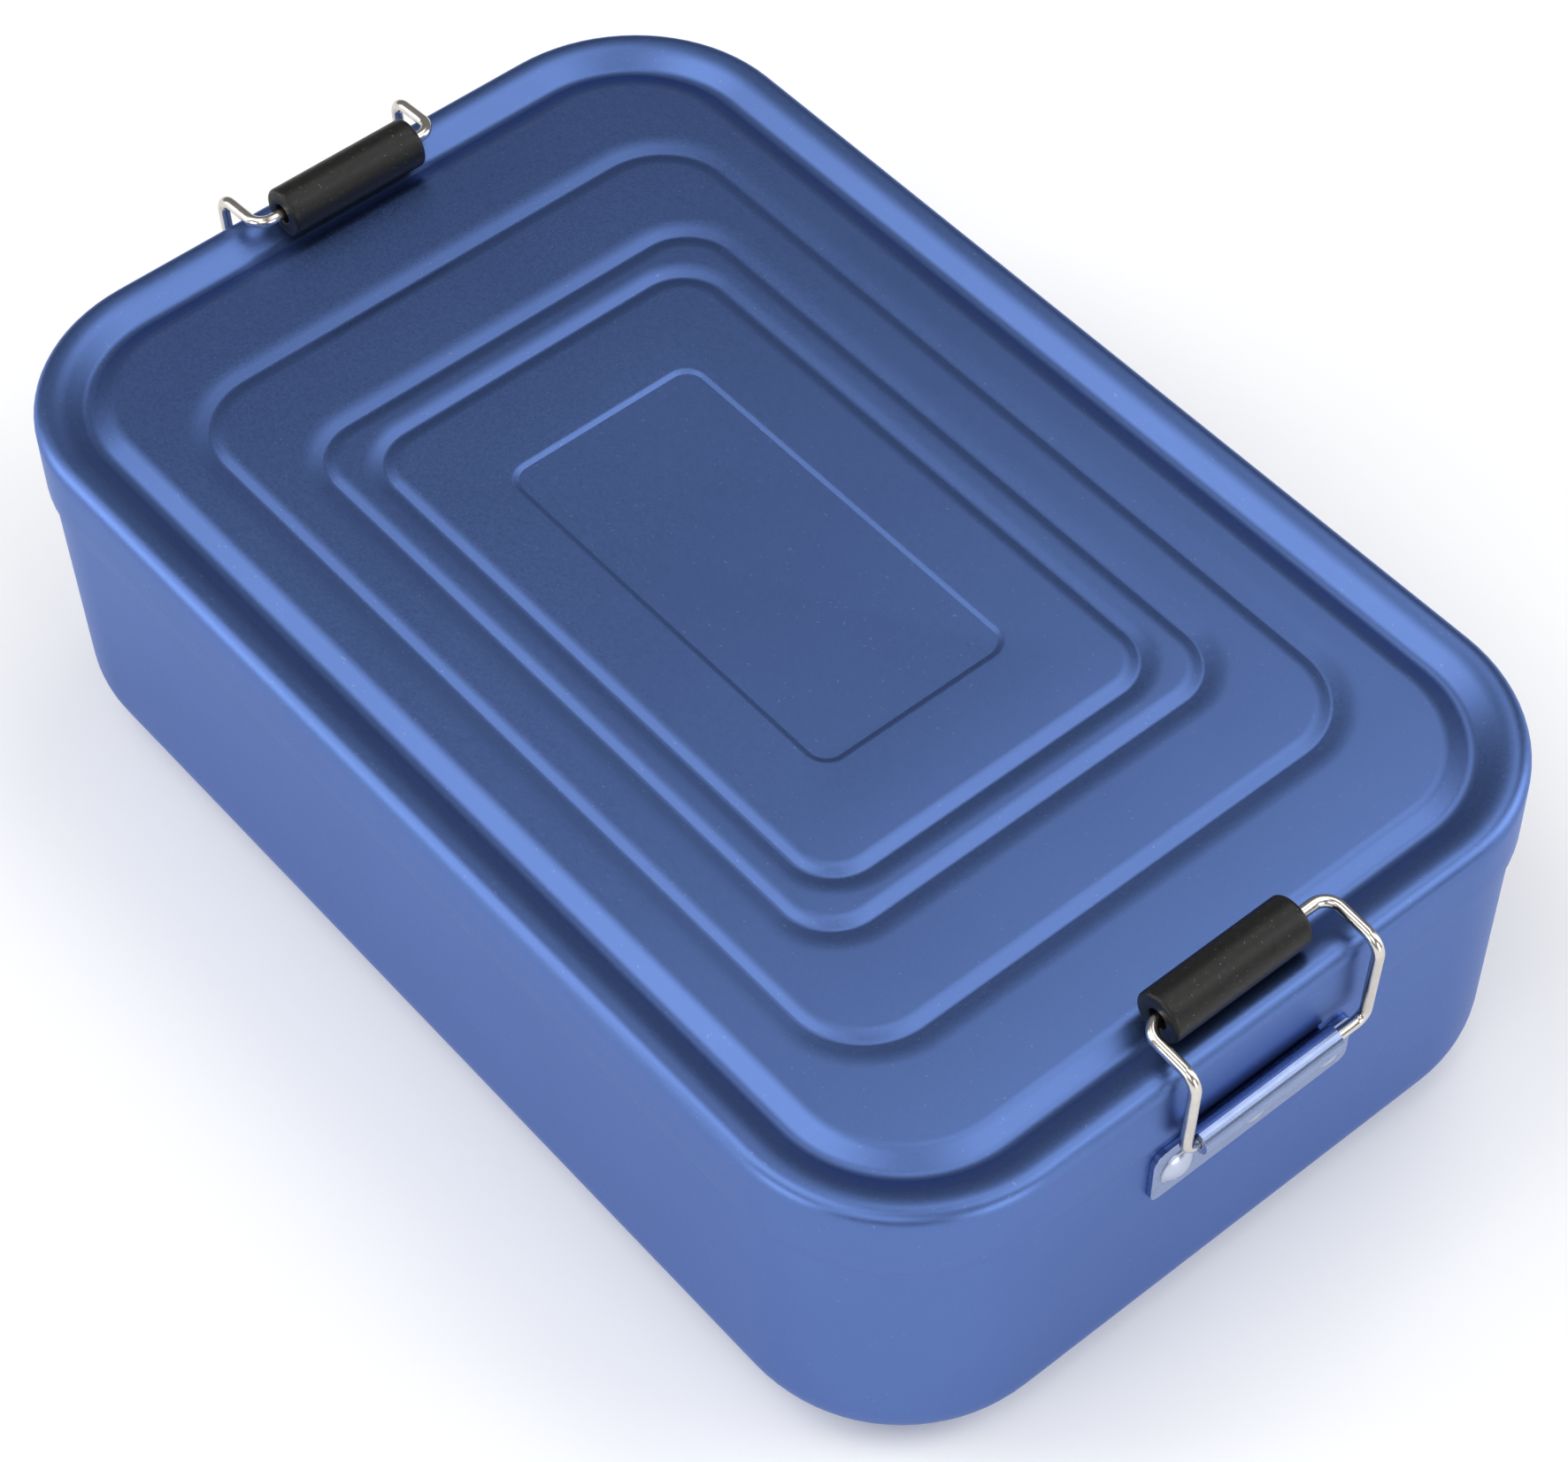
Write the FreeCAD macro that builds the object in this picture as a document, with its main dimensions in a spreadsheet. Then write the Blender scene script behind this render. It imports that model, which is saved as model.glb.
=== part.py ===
"""Metal lunch box: a pressed tray and lift-off lid, held shut by a wire clasp on each short end.

Frame: millimetres, +Z up, X along the box, origin at the centre of the flat underside.
The near end is +X and the far end is -X.  Every driving size is a cell of the sheet.
"""
import FreeCAD, Part
import math
import os

import Sketcher

from FreeCAD import Placement, Rotation, Vector

SIZES = {
    # overall form, outside faces
    "lid_length": 230.0,
    "lid_width": 146.5,
    "lid_corner": 31.0,
    "lid_top": 67.9,
    "skirt_depth": 14.0,
    "lid_edge": 2.5,
    "sheet": 0.9,
    # tray: its wall sits just inside the skirt's face, and its mouth steps in to fit under the lid
    "tray_inset": 0.75,
    "mouth_inset": 1.3,
    "step_below_skirt": 0.6,
    "rim_gap": 1.1,
    "draft_angle": 1.08,
    "tray_bottom_round": 11.6,
    # pressed relief of the lid: distances in from the outer edge, and depths below the rim
    "panel_depth": 0.8,
    "panel_start": 12.0,
    "groove1_in_y": 9.0, "groove1_in_x": 9.0, "groove1_corner": 22.0,
    "groove1_depth": 2.2, "groove1_run_out": 6.5, "groove1_run_in": 4.8,
    "groove1_shoulder_out": 6.9, "groove1_shoulder_in": 4.7, "groove1_hollow": 2.6,
    "groove2_in_y": 21.6, "groove2_in_x": 31.1, "groove2_corner": 13.5,
    "groove2_depth": 1.35, "groove2_run_out": 4.5, "groove2_run_in": 2.9,
    "groove2_shoulder_out": 15.0, "groove2_shoulder_in": 5.5, "groove2_hollow": 1.6,
    "groove3_in_y": 32.5, "groove3_in_x": 50.2, "groove3_corner": 9.5,
    "groove3_depth": 1.35, "groove3_run_out": 4.3, "groove3_run_in": 2.9,
    "groove3_shoulder_out": 14.0, "groove3_shoulder_in": 5.5, "groove3_hollow": 1.6,
    "groove4_in_y": 39.4, "groove4_in_x": 57.6, "groove4_corner": 8.5,
    "groove4_depth": 1.35, "groove4_run_out": 3.7, "groove4_run_in": 2.9,
    "groove4_shoulder_out": 10.0, "groove4_shoulder_in": 5.5, "groove4_hollow": 1.6,
    "plaque_in_y": 53.6, "plaque_in_x": 75.2, "plaque_corner": 4.5,
    "plaque_depth": 0.3, "plaque_slope": 65.0,
    # cutting forms pass the faces they open by this much; a shoulder leaves its face from a hair above it
    "cut_clear": 2.0,
    "blend_lift": 0.01,
    # clasp: hinge axis, then the sleeve's axis, both on the near end
    "hinge_x": 117.2,
    "hinge_z": 52.0,
    "grip_x": 107.0,
    "grip_z": 71.6,
    "near_bracket_y": -1.0,
    "near_bail_y": 0.9,
    "near_grip_y": -1.3,
    # bail wire
    "wire_radius": 1.0,
    "bail_half_span": 18.2,
    "bail_shoulder_x": 118.0,
    "bail_shoulder_z": 70.6,
    "bail_bend": 3.0,
    "bail_foot_bend": 2.0,
    "bail_tail": 15.5,
    # rolled bracket
    "leaf_thickness": 1.0,
    "leaf_half_width": 20.1,
    "leaf_bottom": 38.9,
    "leaf_top": 50.5,
    "leaf_corner": 2.3,
    "knuckle_length": 28.0,
    "knuckle_radius": 2.2,
    "knuckle_bore": 1.08,
    # rivets
    "rivet_pitch": 15.2,
    "rivet_z": 44.6,
    "rivet_shank": 1.6,
    "rivet_hole": 1.66,
    "rivet_head": 3.3,
    "rivet_dome": 1.4,
    "rivet_tail": 2.5,
    "rivet_tail_height": 0.8,
    "rivet_hole_depth": 6.0,
    # grip sleeve
    "grip_radius": 4.4,
    "grip_length": 27.0,
    "grip_bore": 1.08,
    "grip_mouth": 1.75,
    "grip_mouth_depth": 6.0,
    "grip_round": 0.5,
}
ENDS = ("near", "far")
GROOVES = ("groove1", "groove2", "groove3", "groove4")
# distance from the hinge axis to the drafted end wall
WALL_GAP = ("(hinge_x - lid_length / 2 + tray_inset"
            " + (lid_top - skirt_depth - step_below_skirt - hinge_z) * tan(draft_angle)) * cos(draft_angle)")
# how far an edge may lie from where it is looked for
TOLERANCE = 0.05
NORMAL = Vector(0, 0, 1)
QUARTER = math.pi / 2

doc = FreeCAD.newDocument("lunch_box")
sizes = doc.addObject("Spreadsheet::Sheet", "Sizes")
for row, (alias, value) in enumerate(SIZES.items(), start=1):
    sizes.set("A%d" % row, alias)
    sizes.set("B%d" % row, str(value))
    sizes.setAlias("B%d" % row, alias)
doc.recompute()
derived = {}


def cell(alias):
    """The number that the sheet holds under this alias."""
    return float(sizes.get(alias))


def cell_for(formula):
    """Alias of the cell that holds this formula, added to the sheet the first time it is needed."""
    if formula in SIZES:
        return formula
    if formula not in derived:
        derived[formula] = "worked_size_%d" % (len(derived) + 1)
        address = "B%d" % (len(SIZES) + len(derived))
        sizes.set(address, "=" + formula)
        sizes.setAlias(address, derived[formula])
        sizes.recompute()
    return derived[formula]


def value_of(formula):
    """The number that a formula over the sheet's cells gives."""
    return cell(cell_for(formula))


def bound(obj, prop, formula):
    """Bind one property of an object to the sheet."""
    obj.setExpression(prop, "Sizes." + cell_for(formula))


def new_body(label):
    body = doc.addObject("PartDesign::Body", label)
    body.Label = label
    return body


def origin_part(body, role):
    """A plane or axis of the body's own origin."""
    return next(o for o in body.Origin.OriginFeatures if o.Role == role)


def new_sketch(body, name, role, height=None):
    """A sketch on one of the body's origin planes, raised along the plane's normal."""
    sketch = body.newObject("Sketcher::SketchObject", name)
    sketch.AttachmentSupport = [(origin_part(body, role), "")]
    sketch.MapMode = "FlatFace"
    if height is not None:
        bound(sketch, "AttachmentOffset.Base.z", height)
    return sketch


def feature(body, kind, name, **properties):
    """A feature of the body; a size given as text is bound to the sheet."""
    made = body.newObject("PartDesign::" + kind, name)
    for key, value in properties.items():
        if isinstance(value, str) and key in ("Length", "Radius", "TaperAngle"):
            bound(made, key, value)
        else:
            setattr(made, key, value)
    return made


def constrain(sketch, kind, *args):
    sketch.addConstraint(Sketcher.Constraint(kind, *args))


def dimension(sketch, kind, args, formula):
    """A driving dimension of the sketch, bound to the sheet."""
    index = sketch.addConstraint(Sketcher.Constraint(kind, *args, value_of(formula)))
    bound(sketch, "Constraints[%d]" % index, formula)


def arc(centre, radius, start, end):
    return Part.ArcOfCircle(Part.Circle(centre, NORMAL, radius), start, end)


def circle_at(sketch, x, y, radius):
    """A circle of the sketch, its radius bound to the sheet."""
    ring = sketch.addGeometry(Part.Circle(Vector(x, y, 0), NORMAL, cell(radius)), False)
    dimension(sketch, "Radius", (ring,), radius)
    return ring


def polyline(sketch, corners, closed=True):
    """Lines of the sketch through these corners, each joined to the next."""
    corners = [Vector(x, y, 0) for x, y in corners]
    ends = corners[1:] + corners[:1] if closed else corners[1:]
    ids = sketch.addGeometry([Part.LineSegment(a, b) for a, b in zip(corners, ends)], False)
    for a, b in zip(ids, ids[1:] + ids[:1] if closed else ids[1:]):
        constrain(sketch, "Coincident", a, 2, b, 1)
    return ids


def rounded_rectangle(body, name, height, half_x, half_y, corner, split=False):
    """Rounded rectangle about the Z axis.  split starts it at the middle of its -Y side."""
    sketch = new_sketch(body, name, "XY_Plane", height)
    hx, hy, r = value_of(half_x), value_of(half_y), value_of(corner)
    centres = [(hx - r, r - hy), (hx - r, hy - r), (r - hx, hy - r), (r - hx, r - hy)]
    arcs = [arc(Vector(x, y, 0), r, (k - 1) * QUARTER, k * QUARTER) for k, (x, y) in enumerate(centres)]
    middle = Vector(0, -hy, 0)
    geometry = [Part.LineSegment(middle, arcs[0].StartPoint)] if split else []
    for k in range(4):
        geometry.append(arcs[k])
        if k < 3 or not split:
            geometry.append(Part.LineSegment(arcs[k].EndPoint, arcs[(k + 1) % 4].StartPoint))
    if split:
        geometry.append(Part.LineSegment(arcs[3].EndPoint, middle))
    ids = sketch.addGeometry(geometry, False)
    first_arc = 1 if split else 0
    arc_ids = [ids[first_arc + 2 * k] for k in range(4)]
    right, top, left = (ids[first_arc + 1 + 2 * k] for k in range(3))
    for a, b in zip(ids, ids[1:] + ids[:1]):
        joins_lines = split and a == ids[-1]
        constrain(sketch, "Coincident" if joins_lines else "Tangent", a, 2, b, 1)
    constrain(sketch, "Vertical", right)
    constrain(sketch, "Vertical", left)
    constrain(sketch, "Horizontal", top)
    for other in arc_ids[1:]:
        constrain(sketch, "Equal", arc_ids[0], other)
    constrain(sketch, "Symmetric", arc_ids[0], 3, arc_ids[2], 3, -1, 1)
    if split:
        constrain(sketch, "PointOnObject", ids[0], 1, -2)
        constrain(sketch, "Horizontal", ids[0])
    dimension(sketch, "DistanceX", (-1, 1, right, 1), half_x)
    dimension(sketch, "DistanceY", (-1, 1, top, 1), half_y)
    dimension(sketch, "Radius", (arc_ids[0],), corner)
    return sketch


def edges_where(shape, test):
    """Names of the edges whose bounding box passes the test."""
    return ["Edge%d" % number for number, edge in enumerate(shape.Edges, start=1) if test(edge.BoundBox)]


def round_level_edges(body, base, name, height, radius):
    """Fillet every edge of the base feature that lies level at this height."""
    doc.recompute()
    level = value_of(height)
    edges = edges_where(base.Shape, lambda box: max(abs(box.ZMin - level), abs(box.ZMax - level)) < TOLERANCE)
    feature(body, "Fillet", name, Base=(base, edges), Radius=radius)


def flank_angle(run, drop, shoulder, hollow):
    """Steepest angle of a flank that leaves a level shoulder arc and ends in a hollow arc."""
    radii = shoulder + hollow
    straight = math.sqrt(run ** 2 + (radii - drop) ** 2 - radii ** 2)
    return math.atan2(run, radii - drop) - math.atan2(straight, radii)


def groove_profile(body, name, groove, drop):
    """Cross-section of a pressed groove in the YZ plane: shoulder, flank and hollow, then back up."""
    sketch = new_sketch(body, name, "YZ_Plane")
    rim = cell("lid_top") - drop
    hollow = cell(groove + "_hollow")
    middle = cell(groove + "_in_y") - cell("lid_width") / 2
    bottom = rim - cell(groove + "_depth")
    roof = rim + cell("cut_clear")
    flanks = []
    for side, sign in (("out", -1), ("in", 1)):
        run, shoulder = cell(groove + "_run_" + side), cell(groove + "_shoulder_" + side)
        from_rim = groove == "groove1" and side == "out"
        level = rim + cell("blend_lift") - (0.0 if from_rim else cell("panel_depth"))
        angle = flank_angle(run, level - bottom, shoulder, hollow)
        edge = Vector(middle + sign * run, level, 0)
        centre = edge - Vector(0, shoulder, 0)
        crest = arc(centre, shoulder, *sorted((QUARTER, QUARTER + sign * angle)))
        top = centre + Vector(-sign * shoulder * math.sin(angle), shoulder * math.cos(angle), 0)
        foot = Vector(middle + sign * hollow * math.sin(angle), bottom + hollow * (1 - math.cos(angle)), 0)
        flanks.append((crest, Part.LineSegment(top, foot), angle, edge))
    (crest_out, flank_out, out_angle, start), (crest_in, flank_in, in_angle, end) = flanks
    bowl = arc(Vector(middle, bottom + hollow, 0), hollow, -QUARTER - out_angle, -QUARTER + in_angle)
    corners = [end, Vector(end.x, roof, 0), Vector(start.x, roof, 0), start]
    sides = [Part.LineSegment(a, b) for a, b in zip(corners, corners[1:])]
    geometry = [crest_out, flank_out, bowl, flank_in, crest_in] + sides
    a, fall, b, rise, c, wall_in, across, wall_out = sketch.addGeometry(geometry, False)
    for kind, args in (
        ("Tangent", (a, 1, fall, 1)), ("Tangent", (fall, 2, b, 1)),
        ("Tangent", (b, 2, rise, 2)), ("Tangent", (rise, 1, c, 2)),
        ("Coincident", (c, 1, wall_in, 1)), ("Coincident", (wall_in, 2, across, 1)),
        ("Coincident", (across, 2, wall_out, 1)), ("Coincident", (wall_out, 2, a, 2)),
        ("Vertical", (a, 3, a, 2)), ("Vertical", (c, 3, c, 1)),
        ("Vertical", (wall_in,)), ("Horizontal", (across,)), ("Vertical", (wall_out,)),
    ):
        constrain(sketch, kind, *args)
    face = "lid_top" + ("" if drop == 0 else " - sheet")
    inner_level = face + " + blend_lift - panel_depth"
    outer_level = face + " + blend_lift" if groove == "groove1" else inner_level
    dimension(sketch, "Radius", (b,), groove + "_hollow")
    dimension(sketch, "Radius", (a,), groove + "_shoulder_out")
    dimension(sketch, "Radius", (c,), groove + "_shoulder_in")
    dimension(sketch, "DistanceX", (b, 3, -1, 1), "lid_width / 2 - " + groove + "_in_y")
    dimension(sketch, "DistanceY", (-1, 1, b, 3), "%s - %s_depth + %s_hollow" % (face, groove, groove))
    dimension(sketch, "DistanceX", (a, 2, b, 3), groove + "_run_out")
    dimension(sketch, "DistanceX", (b, 3, c, 1), groove + "_run_in")
    dimension(sketch, "DistanceY", (-1, 1, a, 2), outer_level)
    dimension(sketch, "DistanceY", (-1, 1, c, 1), inner_level)
    dimension(sketch, "DistanceY", (-1, 1, wall_in, 2), face + " + cut_clear")
    return sketch


def lid_form(label, inside):
    """Solid under one face of the lid's sheet: the outer face, or the inner one a sheet's thickness in."""
    body = new_body(label)
    inset = " - sheet" if inside else ""
    drop = cell("sheet") if inside else 0.0
    top = "lid_top" + inset
    base = "lid_top - skirt_depth" + (" - cut_clear" if inside else "")
    height = "skirt_depth" + (" + cut_clear - sheet" if inside else "")
    outline = rounded_rectangle(body, label + "_outline", base, "lid_length / 2" + inset,
                                "lid_width / 2" + inset, "lid_corner" + inset)
    block = feature(body, "Pad", label + "_block", Profile=outline, Length=height)
    round_level_edges(body, block, label + "_edge", top, "lid_edge" + inset)
    panel = rounded_rectangle(body, label + "_panel_outline", top, "lid_length / 2 - panel_start",
                              "lid_width / 2 - panel_start", "groove1_corner - panel_start + groove1_in_y")
    feature(body, "Pocket", label + "_panel", Profile=panel, Length="panel_depth")
    for groove in GROOVES:
        path = rounded_rectangle(body, label + "_" + groove + "_path", top + " - panel_depth",
                                 "lid_length / 2 - %s_in_x" % groove, "lid_width / 2 - %s_in_y" % groove,
                                 groove + "_corner", split=True)
        section = groove_profile(body, label + "_" + groove + "_section", groove, drop)
        feature(body, "SubtractivePipe", label + "_" + groove, Profile=section, Spine=(path, []))
    plaque = rounded_rectangle(body, label + "_plaque_outline", top + " - panel_depth",
                               "lid_length / 2 - plaque_in_x", "lid_width / 2 - plaque_in_y", "plaque_corner")
    feature(body, "Pocket", label + "_plaque", Profile=plaque, Length="plaque_depth",
            TaperAngle="0 - plaque_slope")
    return body


def make_lid():
    """Lid sheet: the outer form less the inner form."""
    lid = doc.addObject("Part::Cut", "lid")
    lid.Base = lid_form("lid_outer_form", False)
    lid.Tool = lid_form("lid_inner_form", True)
    lid.Label = "lid"
    return lid


def tray_form(label, inset):
    """Solid under one face of the tray's sheet; inset is how far that face lies inside the outer one."""
    body = new_body(label)
    outer = inset == "0"
    inside = "" if outer else " - " + inset
    step = "lid_top - skirt_depth - step_below_skirt"
    rim = "skirt_depth + step_below_skirt - sheet - rim_gap"

    def outline(name, depth):
        edge = " - " + depth + inside
        return rounded_rectangle(body, label + name, step, "lid_length / 2" + edge,
                                 "lid_width / 2" + edge, "lid_corner" + edge)

    feature(body, "Pad", label + "_wall", Profile=outline("_wall_outline", "tray_inset"),
            Length=step + inside, Reversed=True, TaperAngle="0 - draft_angle")
    mouth = feature(body, "Pad", label + "_mouth", Profile=outline("_mouth_outline", "mouth_inset"),
                    Length=rim if outer else rim + " + rim_gap")
    round_level_edges(body, mouth, label + "_bottom", inset, "tray_bottom_round" + inside)
    return body


def rivet_circles(body, name, level, across=None, height=None):
    """Sketch square to X with three rivet holes in a row, its middle hole at (across, level)."""
    sketch = new_sketch(body, name, "YZ_Plane", height)
    bound(sketch, "AttachmentOffset.Base.y", level)
    if across is not None:
        bound(sketch, "AttachmentOffset.Base.x", across)
    constrain(sketch, "Coincident", circle_at(sketch, 0, 0, "rivet_hole"), 3, -1, 1)
    for side in (-1, 1):
        hole = circle_at(sketch, side * cell("rivet_pitch"), 0, "rivet_hole")
        constrain(sketch, "PointOnObject", hole, 3, -1)
        dimension(sketch, "DistanceX", (-1, 1, hole, 3) if side > 0 else (hole, 3, -1, 1), "rivet_pitch")
    return sketch


def make_tray():
    """Tray sheet: the outer form, with blind rivet holes deeper than its wall, less the inner form."""
    outer = tray_form("tray_outer_form", "0")
    near_row = rivet_circles(outer, "rivet_row_near", "rivet_z", "near_bracket_y", "lid_length / 2")
    far_row = rivet_circles(outer, "rivet_row_far", "rivet_z", None, "0 - lid_length / 2")
    feature(outer, "Pocket", "rivet_holes_near", Profile=near_row, Length="rivet_hole_depth")
    feature(outer, "Pocket", "rivet_holes_far", Profile=far_row, Length="rivet_hole_depth", Reversed=True)
    tray = doc.addObject("Part::Cut", "base_tray")
    tray.Base = outer
    tray.Tool = tray_form("tray_inner_form", "sheet")
    tray.Label = "base_tray"
    return tray


def clasp_place(end, near_shift, spot=("hinge_x", "hinge_z"), lean=0.0):
    """Placement of a clasp piece at its axis; the far end is turned half round and isn't shifted."""
    turn = Rotation(NORMAL, 0 if end == "near" else 180)
    shift = cell(near_shift) if end == "near" else 0.0
    base = turn.multVec(Vector(cell(spot[0]), shift, cell(spot[1])))
    return Placement(base, turn.multiply(Rotation(Vector(0, 1, 0), lean)))


def make_bracket(end):
    """Leaf with a rolled knuckle, modelled in a frame on the hinge axis with X square to the wall."""
    label = "clasp_bracket_" + end
    body = new_body(label)
    low, top = value_of("leaf_bottom - hinge_z"), value_of("leaf_top - hinge_z")
    half, side = cell("leaf_half_width"), cell("knuckle_length") / 2
    face = new_sketch(body, label + "_leaf_outline", "YZ_Plane", "0 - " + WALL_GAP)
    lines = polyline(face, [(-half, low), (half, low), (half, top), (side, top),
                            (side, 0), (-side, 0), (-side, top), (-half, top)])
    for number, line in enumerate(lines):
        constrain(face, "Vertical" if number % 2 else "Horizontal", line)
    constrain(face, "PointOnObject", lines[6], 1, lines[2])
    constrain(face, "PointOnObject", lines[4], 1, -1)
    dimension(face, "DistanceX", (-1, 1, lines[1], 1), "leaf_half_width")
    dimension(face, "DistanceX", (lines[7], 1, -1, 1), "leaf_half_width")
    dimension(face, "DistanceX", (-1, 1, lines[3], 1), "knuckle_length / 2")
    dimension(face, "DistanceX", (lines[5], 1, -1, 1), "knuckle_length / 2")
    dimension(face, "DistanceY", (lines[0], 1, -1, 1), "hinge_z - leaf_bottom")
    dimension(face, "DistanceY", (lines[2], 1, -1, 1), "hinge_z - leaf_top")
    leaf = feature(body, "Pad", label + "_leaf", Profile=face, Length="leaf_thickness")
    doc.recompute()

    def outer_corner(box):
        at_side = abs(abs(box.YMin) - half) < TOLERANCE and abs(box.YMax - box.YMin) < TOLERANCE
        return at_side and abs(box.ZMax - box.ZMin) < TOLERANCE

    feature(body, "Fillet", label + "_corners", Radius="leaf_corner",
            Base=(leaf, edges_where(leaf.Shape, outer_corner)))
    for kind, name, radius, length in (("Pad", "_knuckle", "knuckle_radius", "knuckle_length"),
                                       ("Pocket", "_bore", "knuckle_bore", "knuckle_length * 2")):
        section = new_sketch(body, label + name + "_section", "XZ_Plane")
        constrain(section, "Coincident", circle_at(section, 0, 0, radius), 3, -1, 1)
        feature(body, kind, label + name, Profile=section, Length=length, Midplane=True)
    row = rivet_circles(body, label + "_rivet_row", "rivet_z - hinge_z")
    feature(body, "Pocket", label + "_holes", Profile=row, Length="rivet_hole_depth * 2", Midplane=True)
    body.Placement = clasp_place(end, "near_bracket_y", lean=cell("draft_angle"))
    return body


def bent_wire(points, radii, wire_radius):
    """Round wire along straight runs joined by tangent arcs."""
    pieces, start = [], points[0]
    for before, corner, after, radius in zip(points, points[1:], points[2:], radii):
        back = (before - corner).normalize()
        ahead = (after - corner).normalize()
        half_angle = back.getAngle(ahead) / 2
        reach = radius / math.tan(half_angle)
        first, last = corner + back * reach, corner + ahead * reach
        middle_way = (back + ahead).normalize()
        centre = corner + middle_way * (radius / math.sin(half_angle))
        pieces.append(Part.LineSegment(start, first).toShape())
        pieces.append(Part.Arc(first, centre - middle_way * radius, last).toShape())
        start = last
    pieces.append(Part.LineSegment(start, points[-1]).toShape())
    path = Part.Wire(pieces)
    section = Part.Wire(Part.Circle(points[0], points[1] - points[0], wire_radius).toShape())
    return path.makePipeShell([section], True, False)


def make_bail(end):
    """Wire bail: two tails in the knuckle, two legs, two arms over the rim and the bar of the grip."""
    bail = doc.addObject("Part::Feature", "clasp_bail_" + end)
    bail.Label = "clasp_bail_" + end
    span = cell("bail_half_span")
    tail = span - cell("bail_tail")
    grip = (value_of("grip_x - hinge_x"), value_of("grip_z - hinge_z"))
    shoulder = (value_of("bail_shoulder_x - hinge_x"), value_of("bail_shoulder_z - hinge_z"))
    bends = [(tail, (0, 0)), (span, (0, 0)), (span, shoulder), (span, grip)]
    bends += [(-y, spot) for y, spot in reversed(bends)]
    points = [Vector(spot[0], y, spot[1]) for y, spot in bends]
    foot, bend = cell("bail_foot_bend"), cell("bail_bend")
    bail.Shape = bent_wire(points, [foot, bend, bend, bend, bend, foot], cell("wire_radius"))
    bail.Placement = clasp_place(end, "near_bail_y")
    return bail


def make_grip(end):
    """Grip sleeve, turned about its own axis: rounded ends and a bore that widens at both mouths."""
    label = "grip_sleeve_" + end
    body = new_body(label)
    half, outer = cell("grip_length") / 2, cell("grip_radius")
    bore, mouth = cell("grip_bore"), cell("grip_mouth")
    neck = half - cell("grip_mouth_depth")
    sketch = new_sketch(body, label + "_section", "XY_Plane")
    lines = polyline(sketch, [(bore, -neck), (mouth, -half), (outer, -half),
                              (outer, half), (mouth, half), (bore, neck)])
    for kind, line in (("Horizontal", 1), ("Vertical", 2), ("Horizontal", 3), ("Vertical", 5)):
        constrain(sketch, kind, lines[line])
    dimension(sketch, "DistanceX", (-1, 1, lines[0], 1), "grip_bore")
    dimension(sketch, "DistanceX", (-1, 1, lines[1], 1), "grip_mouth")
    dimension(sketch, "DistanceX", (-1, 1, lines[4], 1), "grip_mouth")
    dimension(sketch, "DistanceX", (-1, 1, lines[2], 1), "grip_radius")
    dimension(sketch, "DistanceY", (lines[1], 1, -1, 1), "grip_length / 2")
    dimension(sketch, "DistanceY", (-1, 1, lines[4], 1), "grip_length / 2")
    dimension(sketch, "DistanceY", (lines[0], 1, -1, 1), "grip_length / 2 - grip_mouth_depth")
    dimension(sketch, "DistanceY", (-1, 1, lines[5], 1), "grip_length / 2 - grip_mouth_depth")
    turned = feature(body, "Revolution", label + "_turned", Profile=sketch,
                     ReferenceAxis=(origin_part(body, "Y_Axis"), [""]), Angle=360.0)
    doc.recompute()

    def end_rim(box):
        return box.YLength < TOLERANCE and abs(box.XMax - outer) < TOLERANCE

    feature(body, "Fillet", label + "_ends", Base=(turned, edges_where(turned.Shape, end_rim)),
            Radius="grip_round")
    body.Placement = clasp_place(end, "near_grip_y", spot=("grip_x", "grip_z"))
    return body


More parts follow.
